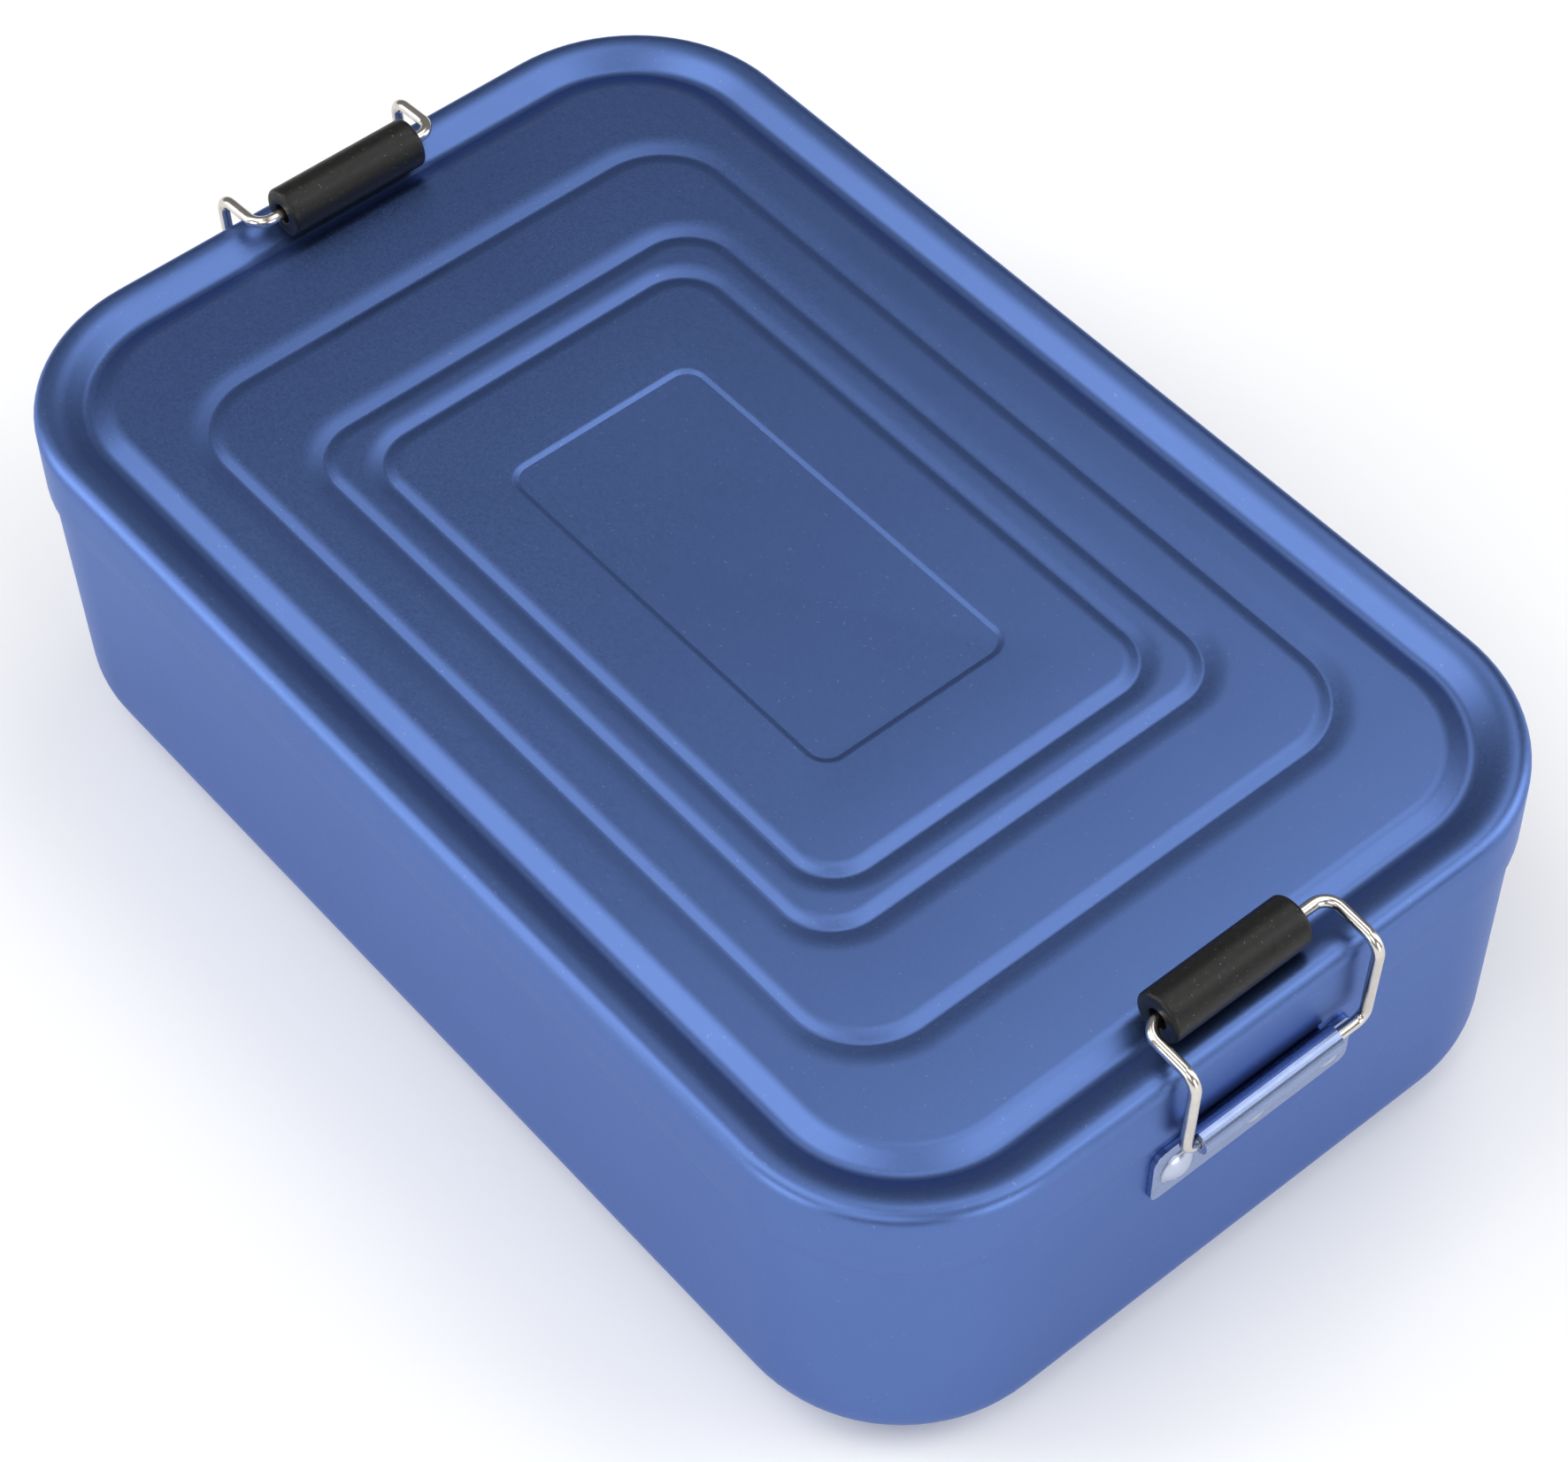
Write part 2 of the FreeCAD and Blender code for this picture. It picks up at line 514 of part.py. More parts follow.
def make_rivets(end):
    """Three rivets in one body: domed head outside the leaf, shank through both sheets, flat tail inside."""
    label = "rivets_" + end
    body = new_body(label)
    body.AllowCompound = True
    head, dome, shank, tail = (cell("rivet_" + part) for part in ("head", "dome", "shank", "tail"))
    front, back = cell("leaf_thickness"), -cell("sheet")
    inner = back - cell("rivet_tail_height")
    dome_radius = (head ** 2 + dome ** 2) / (2 * dome)
    sketch = new_sketch(body, label + "_section", "XY_Plane")
    bound(sketch, "AttachmentOffset.Base.y", "0 - rivet_pitch")
    lines = polyline(sketch, [(front + dome, 0), (inner, 0), (inner, tail), (back, tail),
                              (back, shank), (front, shank), (front, head)], closed=False)
    for number, line in enumerate(lines):
        constrain(sketch, "Vertical" if number % 2 else "Horizontal", line)
    crown_arc = arc(Vector(front + dome - dome_radius, 0, 0), dome_radius, 0, math.asin(head / dome_radius))
    crown = sketch.addGeometry(crown_arc, False)
    constrain(sketch, "Coincident", lines[-1], 2, crown, 2)
    constrain(sketch, "Coincident", lines[0], 1, crown, 1)
    constrain(sketch, "PointOnObject", lines[0], 1, -1)
    constrain(sketch, "PointOnObject", crown, 3, -1)
    dimension(sketch, "DistanceX", (lines[0], 2, -1, 1), "sheet + rivet_tail_height")
    dimension(sketch, "DistanceX", (lines[2], 2, -1, 1), "sheet")
    dimension(sketch, "DistanceX", (-1, 1, lines[4], 2), "leaf_thickness")
    dimension(sketch, "DistanceX", (-1, 1, lines[0], 1), "leaf_thickness + rivet_dome")
    dimension(sketch, "DistanceY", (-1, 1, lines[2], 1), "rivet_tail")
    dimension(sketch, "DistanceY", (-1, 1, lines[4], 1), "rivet_shank")
    dimension(sketch, "DistanceY", (-1, 1, lines[5], 2), "rivet_head")
    turned = feature(body, "Revolution", label + "_first", Profile=sketch,
                     ReferenceAxis=(sketch, ["H_Axis"]), Angle=360.0)
    row = feature(body, "LinearPattern", label + "_row", Originals=[turned], Length="rivet_pitch * 2",
                  Direction=(origin_part(body, "Y_Axis"), [""]), Occurrences=3)
    body.Tip = row
    on_wall = Placement(Vector(-value_of(WALL_GAP), 0, value_of("rivet_z - hinge_z")), Rotation())
    body.Placement = clasp_place(end, "near_bracket_y", lean=cell("draft_angle")).multiply(on_wall)
    return body


parts = [make_tray(), make_lid()]
for end_name in ENDS:
    parts += [make_bracket(end_name), make_bail(end_name), make_grip(end_name), make_rivets(end_name)]
doc.recompute()

for obj in doc.Objects:
    if "Invalid" in obj.State or "Error" in obj.State:
        raise RuntimeError("%s did not build: %s" % (obj.Label, obj.State))
for piece in parts:
    if piece.Shape.isNull() or not piece.Shape.isValid():
        raise RuntimeError(piece.Label + " has no valid shape")
os.makedirs("parts", exist_ok=True)
for piece in parts:
    piece.Shape.exportStep("parts/%s.step" % piece.Label)
    print(piece.Label, len(piece.Shape.Solids), round(piece.Shape.Volume, 1), piece.Shape.BoundBox)
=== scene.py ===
"""Looks of the metal lunch box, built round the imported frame.  Metres, +Z up, near clasp at +X."""
import bpy
import math
from mathutils import Matrix, Vector


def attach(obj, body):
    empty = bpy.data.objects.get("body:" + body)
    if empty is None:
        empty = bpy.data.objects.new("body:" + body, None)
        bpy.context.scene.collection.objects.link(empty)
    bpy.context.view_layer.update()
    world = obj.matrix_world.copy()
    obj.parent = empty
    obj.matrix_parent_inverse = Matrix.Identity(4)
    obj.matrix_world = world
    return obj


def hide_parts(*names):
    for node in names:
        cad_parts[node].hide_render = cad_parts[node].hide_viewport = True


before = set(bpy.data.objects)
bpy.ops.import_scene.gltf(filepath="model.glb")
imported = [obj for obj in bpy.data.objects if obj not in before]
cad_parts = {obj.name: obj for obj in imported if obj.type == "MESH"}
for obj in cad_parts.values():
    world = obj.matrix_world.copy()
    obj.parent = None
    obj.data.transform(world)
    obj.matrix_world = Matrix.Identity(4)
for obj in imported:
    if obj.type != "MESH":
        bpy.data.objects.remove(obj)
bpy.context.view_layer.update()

MM = 0.001

# ---------------------------------------------------------------- sizes, millimetres
LENGTH, WIDTH, CORNER = 230.0, 146.5, 31.0
LID_TOP = 67.9
SKIRT_FOOT = LID_TOP - 14.0
SHEET = 0.9
LID_EDGE = 2.5
PANEL = 0.8
# pressed grooves of the lid: in from the edge along Y and X, corner, depth, hollow radius,
# then run and shoulder radius of the outer flank and of the inner one
GROOVES = (
    (9.0, 9.0, 22.0, 2.2, 2.6, (6.5, 6.9), (4.8, 4.7)),
    (21.6, 31.1, 13.5, 1.35, 1.6, (4.5, 15.0), (2.9, 5.5)),
    (32.5, 50.2, 9.5, 1.35, 1.6, (4.3, 14.0), (2.9, 5.5)),
    (39.4, 57.6, 8.5, 1.35, 1.6, (3.7, 10.0), (2.9, 5.5)),
)
PLAQUE_Y, PLAQUE_X, PLAQUE_CORNER, PLAQUE_DEPTH = 53.6, 75.2, 4.5, 0.3
PLAQUE_RUN, PLAQUE_CREST, PLAQUE_HOLLOW = 1.3, 1.8, 0.5
TRAY_INSET, MOUTH_INSET, JOGGLE = 0.75, 1.3, 53.3
RIM = 65.9
DRAFT = math.radians(1.08)
BOTTOM_ROUND = 11.6
# clasp
HINGE_X, HINGE_Z = 117.2, 52.0
GRIP_X, GRIP_Z = 107.0, 71.6
SHOULDER_X, SHOULDER_Z = 118.0, 70.6
HALF_SPAN, WIRE_RADIUS, BEND, FOOT_BEND, TAIL = 18.2, 1.0, 3.0, 2.0, 15.5
BRACKET_Y = {"near": -1.0, "far": 0.0}
BAIL_Y = {"near": 0.9, "far": 0.0}
GRIP_Y = {"near": -1.3, "far": 0.0}
LEAF_HALF, LEAF_LOW, LEAF_LOBE, LEAF_SHEET = 20.1, 38.9, 50.5, 1.0
KNUCKLE_HALF, KNUCKLE_RADIUS, KNUCKLE_BORE = 14.0, 2.2, 1.08
RIVET_PITCH, RIVET_Z, RIVET_HEAD, RIVET_DOME = 15.2, 44.6, 3.3, 1.4
RIVET_TAIL, RIVET_TAIL_HEIGHT = 2.5, 0.8
GRIP_RADIUS, GRIP_HALF, GRIP_BORE, GRIP_MOUTH, GRIP_NECK = 4.4, 13.5, 1.08, 1.75, 7.5
# how finely round stretches are stepped
ARC_STEPS, SIDE_STEPS = 20, 6


# ---------------------------------------------------------------- mesh helpers
def add_mesh(name, points, faces, smooth=True):
    """Mesh object from points in millimetres, in the row frame."""
    mesh = bpy.data.meshes.new(name)
    mesh.from_pydata([tuple(c * MM for c in p) for p in points], [], faces)
    mesh.validate()
    mesh.update()
    if smooth:
        mesh.shade_smooth()
    else:
        mesh.shade_flat()
    piece = bpy.data.objects.new(name, mesh)
    bpy.context.scene.collection.objects.link(piece)
    return piece


def loft(rings):
    """Faces between rings of equal count, with a cap at each end."""
    count = len(rings[0])
    faces = []
    for k in range(len(rings) - 1):
        low, high = k * count, (k + 1) * count
        for i in range(count):
            j = (i + 1) % count
            faces.append((low + i, low + j, high + j, high + i))
    last = (len(rings) - 1) * count
    faces.append(tuple(reversed(range(count))))
    faces.append(tuple(last + i for i in range(count)))
    return [p for ring in rings for p in ring], faces


def round_ring(half_x, half_y, corner, height):
    """Anticlockwise ring round a rectangle with round corners."""
    ring = []
    for turn, (sx, sy) in enumerate(((1, -1), (1, 1), (-1, 1), (-1, -1))):
        cx, cy = sx * (half_x - corner), sy * (half_y - corner)
        for step in range(ARC_STEPS + 1):
            angle = math.radians(90 * (turn - 1) + 90 * step / ARC_STEPS)
            ring.append((cx + corner * math.cos(angle), cy + corner * math.sin(angle), height))
        nx, ny = ((1, 1), (-1, 1), (-1, -1), (1, -1))[turn]
        ex, ey = nx * (half_x - corner), ny * (half_y - corner)
        dx, dy = math.cos(math.radians(90 * turn)) * corner, math.sin(math.radians(90 * turn)) * corner
        x0, y0, x1, y1 = cx + dx, cy + dy, ex + dx, ey + dy
        for step in range(1, SIDE_STEPS):
            t = step / SIDE_STEPS
            ring.append((x0 + (x1 - x0) * t, y0 + (y1 - y0) * t, height))
    return ring


def inset_ring(inset, height):
    """Ring this far inside the box's outline at a height."""
    return round_ring(LENGTH / 2 - inset, WIDTH / 2 - inset, CORNER - inset, height)


def flank(run, drop, shoulder, hollow, steps=8):
    """Points (distance, height) down a shoulder arc and a straight flank into a rounded hollow."""
    radii = shoulder + hollow
    straight = math.sqrt(run ** 2 + (radii - drop) ** 2 - radii ** 2)
    steepest = math.atan2(run, radii - drop) - math.atan2(straight, radii)
    angles = [steepest * k / steps for k in range(steps + 1)]
    points = [(shoulder * math.sin(a), -shoulder * (1 - math.cos(a))) for a in angles]
    points += [(run - hollow * math.sin(a), -drop + hollow * (1 - math.cos(a))) for a in reversed(angles)]
    return points


def quarter(cx, cz, radius, start, end, steps):
    """Points on an arc, angles in degrees from +X towards +Z."""
    angles = [math.radians(start + (end - start) * k / steps) for k in range(steps + 1)]
    return [(cx + radius * math.cos(a), cz + radius * math.sin(a)) for a in angles]


def lid_relief(drop):
    """Rings of the lid's top from its rim groove to its middle, lowered by drop."""
    rings = []
    top = LID_TOP - drop
    for number, (in_y, in_x, corner, depth, hollow, outer_flank, inner_flank) in enumerate(GROOVES):
        (run_out, crest_out), (run_in, crest_in) = outer_flank, inner_flank
        outer_top = top if number == 0 else top - PANEL
        inner_top = top - PANEL
        bottom = top - depth
        fall = flank(run_out, outer_top - bottom, crest_out, hollow)
        rise = flank(run_in, inner_top - bottom, crest_in, hollow)
        section = [(d - run_out, outer_top + z) for d, z in fall]
        section += [(run_in - d, inner_top + z) for d, z in reversed(rise)][1:]
        half_x, half_y = LENGTH / 2 - in_x, WIDTH / 2 - in_y
        rings += [round_ring(half_x - shift, half_y - shift, corner - shift, height)
                  for shift, height in section]
    half_x, half_y = LENGTH / 2 - PLAQUE_X, WIDTH / 2 - PLAQUE_Y
    for shift, height in flank(PLAQUE_RUN, PLAQUE_DEPTH, PLAQUE_CREST, PLAQUE_HOLLOW, 4):
        rings.append(round_ring(half_x - shift, half_y - shift, PLAQUE_CORNER - shift, top - PANEL + height))
    return rings


def make_lid():
    """Lid: centre of the top, out over the relief, down the skirt, round its foot and back underneath."""
    hem = 0.2
    skirt_step = 2.4
    shoulder_z = LID_TOP - LID_EDGE
    outside = [inset_ring(LID_EDGE - x, z) for x, z in quarter(0, shoulder_z, LID_EDGE, 90, 0, 8)]
    outside += [inset_ring(0, shoulder_z - k * skirt_step) for k in range(1, 4)]
    foot = [inset_ring(hem - x, z) for x, z in quarter(0, SKIRT_FOOT + hem, hem, 0, -90, 3)]
    foot += [inset_ring(SHEET - hem - x, z) for x, z in quarter(0, SKIRT_FOOT + hem, hem, -90, -180, 3)]
    inner_edge = LID_EDGE - SHEET
    inside = [inset_ring(SHEET, SKIRT_FOOT + rise) for rise in (3.5, 8.0)]
    inside += [inset_ring(SHEET + inner_edge - x, z) for x, z in quarter(0, shoulder_z, inner_edge, 0, 90, 6)]
    rings = list(reversed(lid_relief(0.0))) + outside[1:] + foot + inside[:-1] + lid_relief(SHEET)
    points, faces = loft(rings)
    return add_mesh("lid_shell", points, [tuple(reversed(f)) for f in faces])


def tray_wall_inset(height):
    """How far the tray's drafted outer face lies inside the box's outline."""
    return TRAY_INSET + (JOGGLE - height) * math.tan(DRAFT)


def tray_side(thickness):
    """Rings of one face of the tray from its floor to its mouth."""
    radius = BOTTOM_ROUND - thickness
    floor = thickness
    touch = floor + radius * (1 - math.sin(DRAFT))
    centre = tray_wall_inset(touch) + thickness + radius * math.cos(DRAFT)
    rings = []
    bottom_steps = 14
    for k in range(bottom_steps + 1):
        angle = math.pi / 2 + (DRAFT - math.pi / 2) * k / bottom_steps
        rings.append(inset_ring(centre - radius * math.cos(angle), floor + radius * (1 - math.sin(angle))))
    for height in (18, 26, 34, 42, 49, 52.6):
        rings.append(inset_ring(tray_wall_inset(height) + thickness, height))
    bend = 0.25
    step_in, step_out = TRAY_INSET + thickness, MOUTH_INSET + thickness
    rings += [inset_ring(step_in + bend - x, z) for x, z in quarter(0, JOGGLE - bend, bend, 0, 90, 4)]
    rings += [inset_ring(step_out - bend - x, z) for x, z in quarter(0, JOGGLE + bend, bend, -90, -180, 4)]
    return rings


def make_tray():
    """Tray: floor, wall, step and rim outside, then the same faces inside."""
    hem, middle = 0.3, 60.0
    rim = [inset_ring(MOUTH_INSET, middle)]
    rim += [inset_ring(MOUTH_INSET + hem - x, z) for x, z in quarter(0, RIM - hem, hem, 0, 90, 4)]
    rim += [inset_ring(MOUTH_INSET + SHEET - hem - x, z) for x, z in quarter(0, RIM - hem, hem, 90, 180, 4)]
    rim += [inset_ring(MOUTH_INSET + SHEET, middle)]
    rings = tray_side(0.0) + rim + list(reversed(tray_side(SHEET)))
    points, faces = loft(rings)
    return add_mesh("tray_shell", points, faces)


def lathe(profile, steps):
    """Rings (along, x, z) round the first axis for a profile of (along, radius)."""
    turns = [2 * math.pi * k / steps for k in range(steps)]
    return [[(along, radius * math.cos(a), radius * math.sin(a)) for a in turns] for along, radius in profile]


def place(end, points, shift_y, lean=0.0, origin=(HINGE_X, 0.0, HINGE_Z)):
    """Points about an origin on the near end, leaned about Y, moved to their end of the box."""
    turn = 1 if end == "near" else -1
    placed = []
    for x, y, z in points:
        lx = x * math.cos(lean) + z * math.sin(lean) + origin[0]
        lz = z * math.cos(lean) - x * math.sin(lean) + origin[2]
        placed.append((turn * lx, turn * (y + (shift_y if end == "near" else 0.0)), lz))
    return placed


# ---------------------------------------------------------------- clasp pieces
def bent_path(corners, radii):
    """Points along straight runs joined by tangent arcs."""
    arc_step, longest_run = 0.5, 1.2
    corners = [Vector(c) for c in corners]
    path = [corners[0]]
    for before, corner, after, radius in zip(corners, corners[1:], corners[2:], radii):
        back, ahead = (before - corner).normalized(), (after - corner).normalized()
        half = back.angle(ahead) / 2
        reach = radius / math.tan(half)
        centre = corner + (back + ahead).normalized() * (radius / math.sin(half))
        first, last = corner + back * reach, corner + ahead * reach
        start, sweep = first - centre, math.pi - 2 * half
        normal = start.cross(last - centre).normalized()
        count = max(6, int(radius * sweep / arc_step))
        path += [centre + Matrix.Rotation(sweep * k / count, 3, normal) @ start for k in range(count + 1)]
    path.append(corners[-1])
    dense = [path[0]]
    for point in path[1:]:
        gap = (point - dense[-1]).length
        pieces = max(1, int(gap / longest_run))
        dense += [dense[-1].lerp(point, (k + 1) / pieces) for k in range(pieces)]
    return dense


def tube(path, radii, steps=20):
    """Round tube along a path, its frame carried from point to point."""
    turns = [2 * math.pi * i / steps for i in range(steps)]
    rings = []
    side = None
    for k, (point, radius) in enumerate(zip(path, radii)):
        ahead = (path[min(k + 1, len(path) - 1)] - path[max(k - 1, 0)]).normalized()
        if side is None:
            side = ahead.orthogonal().normalized()
        side = (side - ahead * side.dot(ahead)).normalized()
        up = ahead.cross(side)
        rings.append([tuple(point + (side * math.cos(a) + up * math.sin(a)) * radius) for a in turns])
    return rings


def make_bail(end):
    """Wire bail, its cut tips rounded off inside the knuckle."""
    grip = (GRIP_X - HINGE_X, GRIP_Z - HINGE_Z)
    shoulder = (SHOULDER_X - HINGE_X, SHOULDER_Z - HINGE_Z)
    half = [(HALF_SPAN - TAIL, (0, 0)), (HALF_SPAN, (0, 0)), (HALF_SPAN, shoulder), (HALF_SPAN, grip)]
    half += [(-y, spot) for y, spot in reversed(half)]
    corners = [(spot[0], y, spot[1]) for y, spot in half]
    path = bent_path(corners, (FOOT_BEND, BEND, BEND, BEND, BEND, FOOT_BEND))
    tip = [WIRE_RADIUS * share for share in (0.6, 0.9)]
    radii = tip + [WIRE_RADIUS] * (len(path) - 2 * len(tip)) + tip[::-1]
    points, faces = loft(tube(path, radii))
    return add_mesh("bail_wire_" + end, place(end, points, BAIL_Y[end]), faces)


def make_grip(end):
    """Grip sleeve with rounded ends and a bore that widens at its mouths."""
    round_out, round_in, lead_in = 0.7, 0.35, 0.4
    collar, middle = 1.6, 6.0
    half = [(0.0, GRIP_BORE), (GRIP_NECK, GRIP_BORE), (GRIP_HALF - lead_in, GRIP_MOUTH)]
    half += [(GRIP_HALF - round_in + r, GRIP_MOUTH + round_in - z)
             for r, z in quarter(0, 0, round_in, 0, 90, 3)[::-1]]
    half += [(GRIP_HALF - round_out + x, GRIP_RADIUS - round_out + z)
             for x, z in quarter(0, 0, round_out, 0, 90, 5)]
    half += [(GRIP_HALF - collar, GRIP_RADIUS), (middle, GRIP_RADIUS), (0.0, GRIP_RADIUS)]
    other = [(-a, r) for a, r in reversed(half)]
    rings = lathe(half + other[1:], 56)
    count = len(rings[0])
    faces = []
    for k in range(len(rings)):
        low, high = k * count, ((k + 1) % len(rings)) * count
        faces += [(low + i, low + (i + 1) % count, high + (i + 1) % count, high + i) for i in range(count)]
    points = [(x, along, z) for ring in rings for along, x, z in ring]
    placed = place(end, points, GRIP_Y[end], origin=(GRIP_X, 0.0, GRIP_Z))
    return add_mesh("grip_rubber_" + end, placed, faces)


def wall_distance():
    """From the hinge axis square to the tray's end wall."""
    wall = LENGTH / 2 - tray_wall_inset(HINGE_Z)
    return (HINGE_X - wall) * math.cos(DRAFT)


def make_bracket(end):
    """Leaf on the wall whose middle rises, steps out and curls round the wire."""
    back = -wall_distance()
    front = back + LEAF_SHEET
    low, lobe = LEAF_LOW - HINGE_Z, LEAF_LOBE - HINGE_Z
    neck = lobe + 0.15
    corner_low, corner_top = 1.8, 2.5
    outline = []
    for cy, cz, radius, start in (
        (-LEAF_HALF + corner_low, low + corner_low, corner_low, 180),
        (LEAF_HALF - corner_low, low + corner_low, corner_low, 270),
        (LEAF_HALF - corner_top, lobe - corner_top, corner_top, 0),
    ):
        outline += quarter(cy, cz, radius, start, start + 90, 6)
    outline += [(KNUCKLE_HALF, lobe), (KNUCKLE_HALF, neck), (-KNUCKLE_HALF, neck), (-KNUCKLE_HALF, lobe)]
    outline += quarter(-LEAF_HALF + corner_top, lobe - corner_top, corner_top, 90, 180, 6)
    count = len(outline)
    points = [(front, y, z) for y, z in outline] + [(back, y, z) for y, z in outline]
    top_right = next(i for i, p in enumerate(outline) if p == (KNUCKLE_HALF, neck))
    top_left = top_right + 1
    faces = [tuple(range(count)), tuple(reversed(range(count, 2 * count)))]
    for i in range(count):
        j = (i + 1) % count
        if i != top_right:
            faces.append((i, count + i, count + j, j))
    # curl from the neck, round the back and over the wire
    curl_turn, curl_steps = 318, 27
    joined = [(top_right, top_left, count + top_right, count + top_left)]
    for k in range(curl_steps + 1):
        angle = math.radians(180 - curl_turn * k / curl_steps)
        outer_x, outer_z = KNUCKLE_RADIUS * math.cos(angle), KNUCKLE_RADIUS * math.sin(angle)
        inner_x, inner_z = KNUCKLE_BORE * math.cos(angle), KNUCKLE_BORE * math.sin(angle)
        base = len(points)
        points += [(inner_x, KNUCKLE_HALF, inner_z), (inner_x, -KNUCKLE_HALF, inner_z),
                   (outer_x, KNUCKLE_HALF, outer_z), (outer_x, -KNUCKLE_HALF, outer_z)]
        joined.append((base, base + 1, base + 2, base + 3))
    for (a, b, c, d), (e, f, g, i) in zip(joined, joined[1:]):
        faces += [(a, b, f, e), (d, c, g, i), (c, a, e, g), (b, d, i, f)]
    a, b, c, d = joined[-1]
    faces.append((a, b, d, c))
    piece = add_mesh("bracket_plate_" + end, place(end, points, BRACKET_Y[end], DRAFT), faces, smooth=False)
    bevel = piece.modifiers.new("worn edges", "BEVEL")
    bevel.width = 0.18 * MM
    bevel.segments = 2
    bevel.limit_method = "ANGLE"
    bevel.angle_limit = math.radians(40)
    return piece


def make_rivets(end):
    """Three rivets: a shallow dome outside, a flat tail inside the tray."""
    wall = -wall_distance()
    front = wall + LEAF_SHEET
    radius = (RIVET_HEAD ** 2 + RIVET_DOME ** 2) / (2 * RIVET_DOME)
    reach = math.degrees(math.asin(RIVET_HEAD / radius))
    pole, rim_share = 0.6, 0.985
    crown = quarter(0, 0, radius, pole, reach * rim_share, 9)
    dome = [(front + RIVET_DOME - radius + a, r) for a, r in crown]
    head = dome + [(front + 0.12, RIVET_HEAD), (front - 0.3, RIVET_HEAD - 0.06)]
    inner = wall - SHEET
    tail = [(inner + 0.2, RIVET_TAIL - 0.05), (inner - 0.5, RIVET_TAIL),
            (inner - 0.72, RIVET_TAIL - 0.14), (inner - RIVET_TAIL_HEIGHT, RIVET_TAIL - 0.4)]
    drop = RIVET_Z - HINGE_Z
    points, faces = [], []
    for spot in (-1, 0, 1):
        for profile in (head, tail):
            ring_points, ring_faces = loft(lathe(profile, 40))
            base = len(points)
            points += [(x, y + spot * RIVET_PITCH, z + drop) for x, y, z in ring_points]
            faces += [tuple(base + i for i in reversed(face)) for face in ring_faces]
    return add_mesh("rivet_heads_" + end, place(end, points, BRACKET_Y[end], DRAFT), faces)


# ---------------------------------------------------------------- materials
def new_material(name):
    """A node material, with what its own function needs to build it."""
    material = bpy.data.materials.new(name)
    material.use_nodes = True
    nodes, links = material.node_tree.nodes, material.node_tree.links
    shader = nodes["Principled BSDF"]
    coords = nodes.new("ShaderNodeTexCoord")
    return material, nodes, links, shader, coords


def noise(nodes, links, coords, scale, detail=2.0, stretch=None):
    """Noise in object space, scale in features per metre."""
    texture = nodes.new("ShaderNodeTexNoise")
    texture.inputs["Scale"].default_value = scale
    texture.inputs["Detail"].default_value = detail
    if stretch:
        mapping = nodes.new("ShaderNodeMapping")
        mapping.inputs["Scale"].default_value = stretch
        links.new(coords.outputs["Object"], mapping.inputs["Vector"])
        links.new(mapping.outputs["Vector"], texture.inputs["Vector"])
    else:
        links.new(coords.outputs["Object"], texture.inputs["Vector"])
    return texture


def ramp(nodes, links, source, low, high, dark, bright):
    """A value mapped from low..high to dark..bright."""
    node = nodes.new("ShaderNodeMapRange")
    node.inputs["From Min"].default_value = low
    node.inputs["From Max"].default_value = high
    node.inputs["To Min"].default_value = dark
    node.inputs["To Max"].default_value = bright
    links.new(source, node.inputs["Value"])
    return node.outputs["Result"]


def mix_colour(nodes, links, factor, first, second):
    """A mix of two colours, each given as numbers or as another node's output."""
    first_input, second_input, result = 6, 7, 2
    node = nodes.new("ShaderNodeMix")
    node.data_type = "RGBA"
    for socket, colour in ((node.inputs[first_input], first), (node.inputs[second_input], second)):
        if isinstance(colour, tuple):
            socket.default_value = colour
        else:
            links.new(colour, socket)
    links.new(factor, node.inputs[0])
    return node.outputs[result]


def bump(nodes, links, shader, source, strength, distance):
    """Fine relief of the surface from a value."""
    node = nodes.new("ShaderNodeBump")
    node.inputs["Strength"].default_value = strength
    node.inputs["Distance"].default_value = distance
    links.new(source, node.inputs["Height"])
    links.new(node.outputs["Normal"], shader.inputs["Normal"])


def anodised_blue():
    """Satin anodised aluminium: a faint cloud in its blue, fine grain, a few dust specks and a clear seal."""
    material, nodes, links, shader, coords = new_material("anodised_blue")
    shader.inputs["Metallic"].default_value = 1.0
    shader.inputs["Specular Tint"].default_value = (0.62, 0.72, 1.0, 1)
    shader.inputs["Coat Weight"].default_value = 0.25
    shader.inputs["Coat Roughness"].default_value = 0.4
    cloud = noise(nodes, links, coords, 30, 3)
    grain = noise(nodes, links, coords, 2600, 2)
    dust = noise(nodes, links, coords, 1700, 0)
    factor = ramp(nodes, links, cloud.outputs["Fac"], 0.35, 0.65, 0.0, 1.0)
    blue = mix_colour(nodes, links, factor, (0.081, 0.148, 0.382, 1), (0.086, 0.156, 0.398, 1))
    shade = ramp(nodes, links, grain.outputs["Fac"], 0.3, 0.7, 0.0, 0.12)
    grained = mix_colour(nodes, links, shade, blue, (0.16, 0.25, 0.5, 1))
    speck = ramp(nodes, links, dust.outputs["Fac"], 0.80, 0.84, 0.0, 0.2)
    links.new(mix_colour(nodes, links, speck, grained, (0.4, 0.45, 0.6, 1)), shader.inputs["Base Color"])
    links.new(ramp(nodes, links, grain.outputs["Fac"], 0.3, 0.7, 0.36, 0.44), shader.inputs["Roughness"])
    bump(nodes, links, shader, grain.outputs["Fac"], 0.15, 0.00004)
    return material


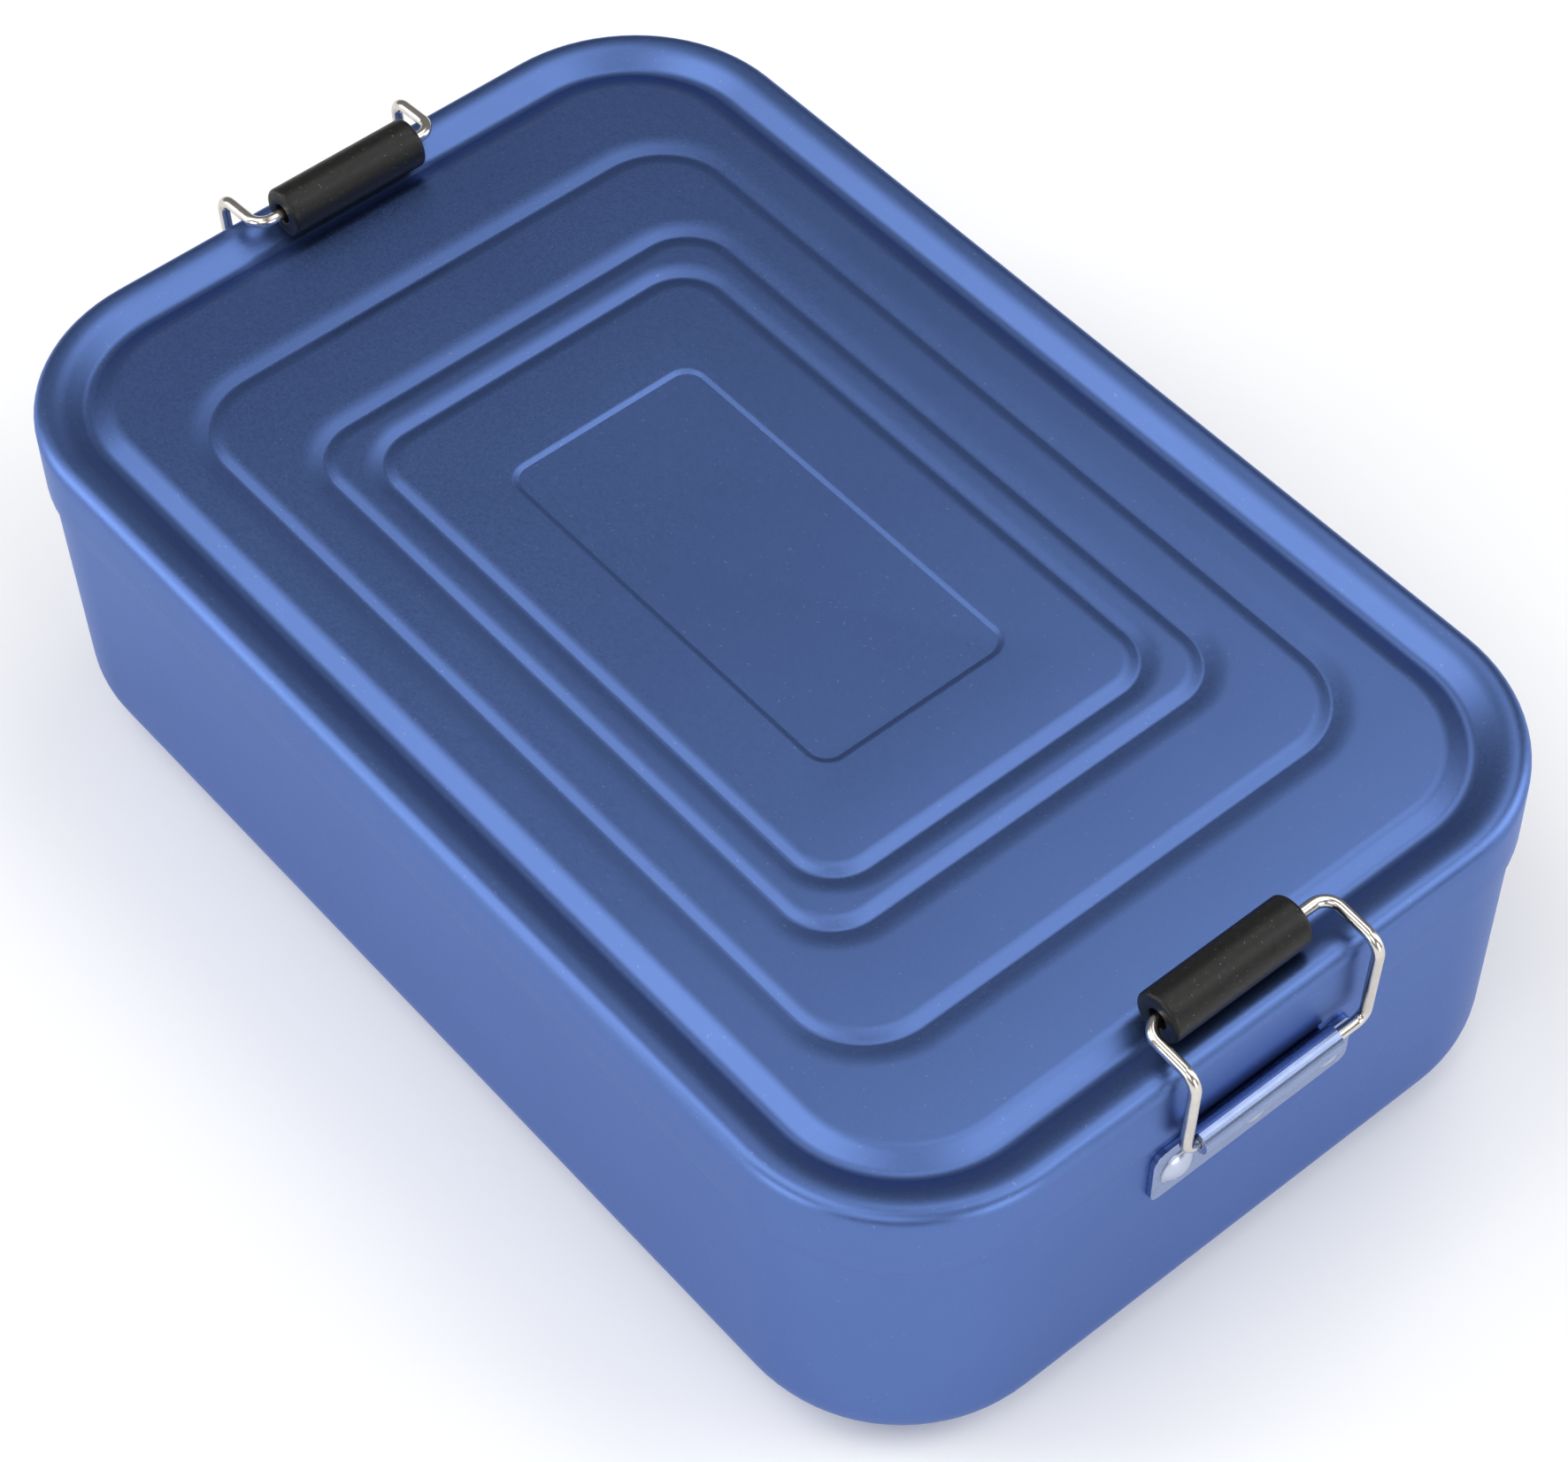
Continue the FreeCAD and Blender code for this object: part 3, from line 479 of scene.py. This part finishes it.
def drawn_wire():
    """Bright drawn wire with faint marks of the die."""
    material, nodes, links, shader, coords = new_material("bright_wire")
    shader.inputs["Metallic"].default_value = 1.0
    marks = noise(nodes, links, coords, 420, 3)
    fine = noise(nodes, links, coords, 3000, 2)
    factor = ramp(nodes, links, marks.outputs["Fac"], 0.42, 0.7, 0.0, 1.0)
    colour = mix_colour(nodes, links, factor, (0.60, 0.565, 0.52, 1), (0.68, 0.645, 0.60, 1))
    links.new(colour, shader.inputs["Base Color"])
    links.new(ramp(nodes, links, fine.outputs["Fac"], 0.3, 0.7, 0.15, 0.24), shader.inputs["Roughness"])
    bump(nodes, links, shader, marks.outputs["Fac"], 0.04, 0.00003)
    return material


def plated_sheet(name, dark, bright, roughness):
    """Plated steel sheet, its rolled grain along Y."""
    material, nodes, links, shader, coords = new_material(name)
    shader.inputs["Metallic"].default_value = 1.0
    rolled = noise(nodes, links, coords, 1500, 3, stretch=(1.0, 0.25, 1.0))
    factor = ramp(nodes, links, rolled.outputs["Fac"], 0.3, 0.7, 0.0, 1.0)
    links.new(mix_colour(nodes, links, factor, dark, bright), shader.inputs["Base Color"])
    links.new(ramp(nodes, links, rolled.outputs["Fac"], 0.3, 0.7, roughness + 0.02, roughness - 0.02),
              shader.inputs["Roughness"])
    bump(nodes, links, shader, rolled.outputs["Fac"], 0.03, 0.00003)
    return material


def black_rubber():
    """Matt black rubber with specks of dust."""
    material, nodes, links, shader, coords = new_material("black_rubber")
    shader.inputs["Specular IOR Level"].default_value = 0.3
    dust = noise(nodes, links, coords, 2300, 1)
    factor = ramp(nodes, links, dust.outputs["Fac"], 0.71, 0.76, 0.0, 0.8)
    colour = mix_colour(nodes, links, factor, (0.0075, 0.007, 0.0065, 1), (0.11, 0.105, 0.10, 1))
    links.new(colour, shader.inputs["Base Color"])
    skin = noise(nodes, links, coords, 900, 4)
    links.new(ramp(nodes, links, skin.outputs["Fac"], 0.3, 0.7, 0.34, 0.46), shader.inputs["Roughness"])
    bump(nodes, links, shader, skin.outputs["Fac"], 0.1, 0.00006)
    return material


BLUE = anodised_blue()
WIRE = drawn_wire()
PLATE = plated_sheet("plate_steel", (0.235, 0.30, 0.49, 1), (0.265, 0.33, 0.52, 1), 0.27)
RIVET = plated_sheet("rivet_steel", (0.46, 0.51, 0.64, 1), (0.50, 0.55, 0.68, 1), 0.25)
RUBBER = black_rubber()


def fit_piece(piece, material, body, node):
    """Give a piece its material, hang it on the body it rides and hide the CAD node it stands in for."""
    piece.data.materials.append(material)
    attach(piece, body)
    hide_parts(node)


fit_piece(make_lid(), BLUE, "lid", "lid")
fit_piece(make_tray(), BLUE, "tray", "base_tray")
for end in ("near", "far"):
    fit_piece(make_bracket(end), PLATE, "tray", "clasp_bracket_" + end)
    fit_piece(make_rivets(end), RIVET, "tray", "rivets_" + end)
    fit_piece(make_bail(end), WIRE, "bail_" + end, "clasp_bail_" + end)
    fit_piece(make_grip(end), RUBBER, "grip_" + end, "grip_sleeve_" + end)


# ---------------------------------------------------------------- floor, light, camera
def make_floor():
    """A pale square just under the box."""
    mesh = bpy.data.meshes.new("floor")
    reach, level = 3.0, -0.0002
    corners = [(x * reach, y * reach, level) for x, y in ((-1, -1), (1, -1), (1, 1), (-1, 1))]
    mesh.from_pydata(corners, [], [(0, 1, 2, 3)])
    floor = bpy.data.objects.new("floor", mesh)
    bpy.context.scene.collection.objects.link(floor)
    material = bpy.data.materials.new("pale_floor")
    material.use_nodes = True
    shader = material.node_tree.nodes["Principled BSDF"]
    shader.inputs["Base Color"].default_value = (0.95, 0.95, 0.95, 1)
    shader.inputs["Roughness"].default_value = 0.9
    shader.inputs["Specular IOR Level"].default_value = 0.1
    mesh.materials.append(material)


def softbox(name, azimuth, elevation, power):
    """Square area light on a sphere round the box; azimuth from -Y towards +X."""
    distance, side = 1.8, 0.9
    a, e = math.radians(azimuth), math.radians(elevation)
    aim = Vector((0, 0, 0.05))
    place_at = aim + distance * Vector((math.sin(a) * math.cos(e), -math.cos(a) * math.cos(e), math.sin(e)))
    data = bpy.data.lights.new(name, "AREA")
    data.shape = "RECTANGLE"
    data.size, data.size_y, data.energy = side, side, power
    lamp = bpy.data.objects.new(name, data)
    lamp.location = place_at
    lamp.rotation_euler = (place_at - aim).to_track_quat("Z", "Y").to_euler()
    bpy.context.scene.collection.objects.link(lamp)


def make_camera():
    """Camera on a sphere round the target, rolled about its own axis."""
    azimuth, elevation, roll = math.radians(50.935), math.radians(51.255), math.radians(-1.268)
    distance, target = 0.704679, Vector((-0.012082, 0.015084, 0.0))
    back = Vector((math.sin(azimuth) * math.cos(elevation), -math.cos(azimuth) * math.cos(elevation),
                   math.sin(elevation)))
    right = Vector((0, 0, 1)).cross(back).normalized()
    up = back.cross(right)
    turned_right = right * math.cos(roll) + up * math.sin(roll)
    turned_up = up * math.cos(roll) - right * math.sin(roll)
    data = bpy.data.cameras.new("camera")
    data.sensor_width, data.lens = 36.0, 93.89
    data.clip_start = 0.01
    camera = bpy.data.objects.new("camera", data)
    axes = Matrix((turned_right, turned_up, back)).transposed().to_4x4()
    camera.matrix_world = Matrix.Translation(target + back * distance) @ axes
    bpy.context.scene.collection.objects.link(camera)
    bpy.context.scene.camera = camera


make_floor()
# three rings of softboxes: elevation, power of each box, azimuths
for ring, elevation, power, azimuths in (
    ("low", 14, 7.5, (0, 90, 150, 315)),
    ("middle", 38, 5.0, (40, 135, 315)),
    ("high", 63, 5.0, (0, 120, 195, 300)),
):
    for azimuth in azimuths:
        softbox("%s_%d" % (ring, azimuth), azimuth, elevation, power)
make_camera()
world = bpy.data.worlds.new("studio")
bpy.context.scene.world = world
world.use_nodes = True
background = world.node_tree.nodes["Background"]
background.inputs["Color"].default_value = (1.0, 1.0, 1.0, 1)
background.inputs["Strength"].default_value = 0.23
bpy.context.scene.view_settings.view_transform = "Standard"
